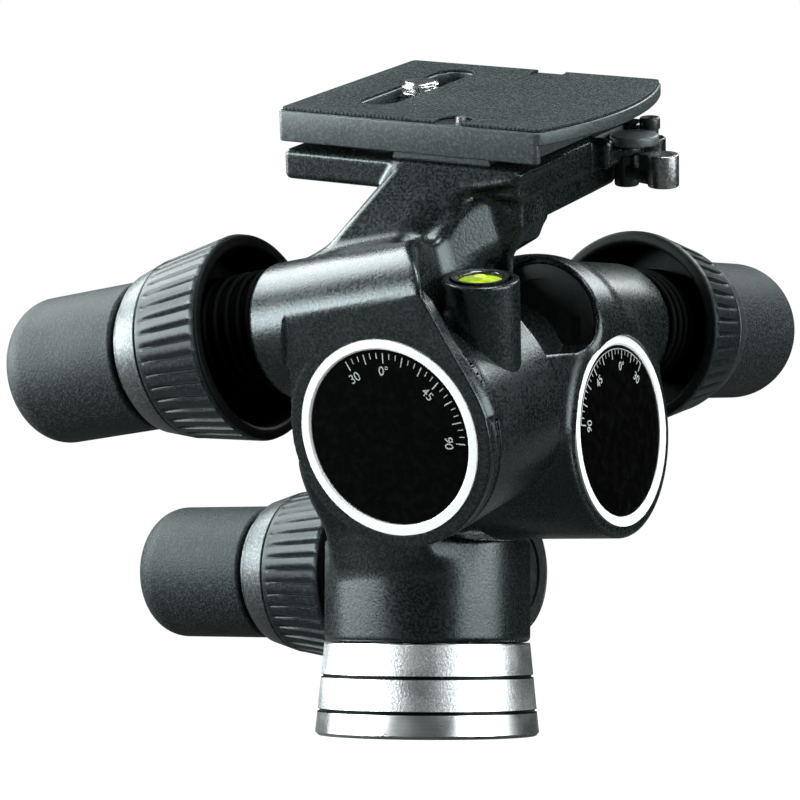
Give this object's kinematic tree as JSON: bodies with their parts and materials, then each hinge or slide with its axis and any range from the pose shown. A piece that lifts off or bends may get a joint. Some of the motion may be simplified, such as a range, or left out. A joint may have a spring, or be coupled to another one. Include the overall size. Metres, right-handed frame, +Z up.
{
  "type": "geared tripod head",
  "caption": "Geared camera head with a pan turn and two tilts driven by worm knobs, dial scales, a bubble level and a locking quick release plate.",
  "frame": {"origin": "centre of the flat foot of the base, where the tripod screw enters", "axes": "+Z up along the pan axis, +X the way the front tilt dial faces, -Y the way the side tilt dial faces; the head is stored tilted as it stands in the picture"},
  "size_m": [0.1956, 0.1924, 0.1783],
  "materials": {
    "cast_metal": "satin speckled paint",
    "turned_alloy": "fine turned",
    "screw_steel": "satin",
    "shaft_steel": "ground",
    "wheel_bronze": "machined",
    "bush_bronze": "machined",
    "plate_steel": "satin",
    "boss_cap": "matte",
    "sleeve_alloy": "black anodised",
    "collar_plastic": "matte ribbed",
    "bright_ring": "polished",
    "spring_steel": "satin",
    "knob_core": "matte",
    "soft_grip": "fine grained",
    "dial_face": "glossy with white scale",
    "dial_bezel": "white, glossy",
    "level_ring": "glossy",
    "level_vial": "clear yellow green",
    "lever_black": "satin",
    "lever_silver": "satin",
    "jaw_alloy": "machined",
    "plate_alloy": "satin",
    "pad_rubber": "ribbed"
  },
  "bodies": {
    "base": {"base_adapter": "turned_alloy", "base_screws": "screw_steel", "pan_spindle": "shaft_steel", "pan_wheel": "wheel_bronze"},
    "pan_body": {"lower_body": "cast_metal", "pan_bearing_plate": "plate_steel", "pan_bushes": "bush_bronze", "pan_boss_cap": "boss_cap", "front_spindle": "shaft_steel", "front_wheel": "wheel_bronze", "front_dial": "dial_face"},
    "tilt_body": {"middle_body": "cast_metal", "front_bearing_plate": "plate_steel", "front_bushes": "bush_bronze", "front_bezel": "dial_bezel", "front_boss_cap": "boss_cap", "side_spindle": "shaft_steel", "side_wheel": "wheel_bronze", "side_dial": "dial_face"},
    "platform": {"top_body": "cast_metal", "side_bearing_plate": "plate_steel", "side_bushes": "bush_bronze", "side_bezel": "dial_bezel", "level_ring": "level_ring", "level_vial": "level_vial"},
    "lever": {"clamp_lever": "lever_black", "lever_finger": "lever_silver", "lever_post": "lever_black"},
    "jaw": {"clamp_jaw": "jaw_alloy"},
    "catch": {"lever_catch": "lever_black"},
    "plate": {"quick_plate": "plate_alloy", "plate_pad": "pad_rubber", "locating_pin": "screw_steel"},
    "washer": {"screw_washer": "screw_steel"},
    "clip": {"screw_clip": "screw_steel"},
    "camera_stud": {"camera_screw": "screw_steel"},
    "pan_release": {"pan_release_sleeve": "sleeve_alloy", "pan_release_collar": "collar_plastic", "pan_collar_ring": "bright_ring", "pan_worm_bushes": "bush_bronze", "pan_release_spring": "spring_steel"},
    "pan_knob": {"pan_worm": "shaft_steel", "pan_knob_core": "knob_core", "pan_grip": "soft_grip"},
    "front_release": {"front_release_sleeve": "sleeve_alloy", "front_release_collar": "collar_plastic", "front_collar_ring": "bright_ring", "front_worm_bushes": "bush_bronze", "front_release_spring": "spring_steel"},
    "front_knob": {"front_worm": "shaft_steel", "front_knob_core": "knob_core", "front_grip": "soft_grip"},
    "side_release": {"side_release_sleeve": "sleeve_alloy", "side_release_collar": "collar_plastic", "side_collar_ring": "bright_ring", "side_worm_bushes": "bush_bronze", "side_release_spring": "spring_steel"},
    "side_knob": {"side_worm": "shaft_steel", "side_knob_core": "knob_core", "side_grip": "soft_grip"}
  },
  "joints": [
    {"name": "pan_turn", "type": "hinge", "parent": "base", "child": "pan_body", "pos_m": [0, 0, 0.0435], "axis": [0, 0, 1], "continuous": true},
    {"name": "front_tilt", "type": "hinge", "parent": "pan_body", "child": "tilt_body", "pos_m": [0, -0.0203, 0.07865], "axis": [1, 0, 0], "range_deg": [-48.6, 71.4]},
    {"name": "side_tilt", "type": "hinge", "parent": "tilt_body", "child": "platform", "pos_m": [0.044, -0.02609, 0.09585], "axis": [0, 0.9478, 0.319], "range_deg": [-39, 81]},
    {"name": "pan_release_twist", "type": "hinge", "parent": "pan_body", "child": "pan_release", "pos_m": [0, 0.02771, 0.04172], "axis": [-1, 0, 0], "range_deg": [0, 54], "stiffness_Nm_per_rad": 0.15, "springref_deg": -20.05},
    {"name": "pan_knob_turn", "type": "hinge", "parent": "pan_release", "child": "pan_knob", "pos_m": [0, 0.0268, 0.0435], "axis": [-1, 0, 0], "continuous": true},
    {"name": "front_release_twist", "type": "hinge", "parent": "tilt_body", "child": "front_release", "pos_m": [0.05508, -0.02204, 0.1063], "axis": [0, 0.998, 0.0628], "range_deg": [0, 54], "stiffness_Nm_per_rad": 0.15, "springref_deg": -20.05},
    {"name": "front_knob_turn", "type": "hinge", "parent": "front_release", "child": "front_knob", "pos_m": [0.0533, -0.02198, 0.1054], "axis": [0, 0.998, 0.0628], "continuous": true},
    {"name": "side_release_twist", "type": "hinge", "parent": "platform", "child": "side_release", "pos_m": [0.0411, -0.0819, 0.10614], "axis": [-0.9945, 0.0333, -0.0991], "range_deg": [0, 54], "stiffness_Nm_per_rad": 0.15, "springref_deg": -20.05},
    {"name": "side_knob_turn", "type": "hinge", "parent": "side_release", "child": "side_knob", "pos_m": [0.0412, -0.08331, 0.10472], "axis": [-0.9945, 0.0333, -0.0991], "continuous": true},
    {"name": "lever_swing", "type": "hinge", "parent": "platform", "child": "lever", "pos_m": [0.07337, -0.02529, 0.14676], "axis": [-0.1564, 0.315, -0.9361], "range_deg": [0, 45]},
    {"name": "jaw_slide", "type": "slide", "parent": "platform", "child": "jaw", "axis": [0.9877, 0.0499, -0.1483], "range_m": [0, 0.0004]},
    {"name": "catch_press", "type": "slide", "parent": "platform", "child": "catch", "axis": [-0.1564, 0.315, -0.9361], "range_m": [0, 0.002], "stiffness_N_per_m": 300, "springref_m": -0.003},
    {"name": "plate_slide", "type": "slide", "parent": "platform", "child": "plate", "axis": [0, 0.9478, 0.319], "range_m": [0, 0.06]},
    {"name": "stud_slide", "type": "slide", "parent": "plate", "child": "washer", "axis": [0, 0.9478, 0.319], "range_m": [-0.0188, 0.0168]},
    {"name": "stud_lift", "type": "slide", "parent": "washer", "child": "clip", "axis": [0.1564, -0.315, 0.9361], "range_m": [0, 0.0025]},
    {"name": "stud_turn", "type": "hinge", "parent": "clip", "child": "camera_stud", "pos_m": [0.02438, -0.04396, 0.16149], "axis": [0.1564, -0.315, 0.9361], "continuous": true}
  ],
  "couplings": [
    {"joint": "pan_knob_turn", "follows": "pan_turn", "ratio": 50},
    {"joint": "front_knob_turn", "follows": "front_tilt", "ratio": -50},
    {"joint": "side_knob_turn", "follows": "side_tilt", "ratio": -50},
    {"joint": "jaw_slide", "follows": "lever_swing", "m_per_rad": 0.000509}
  ]
}
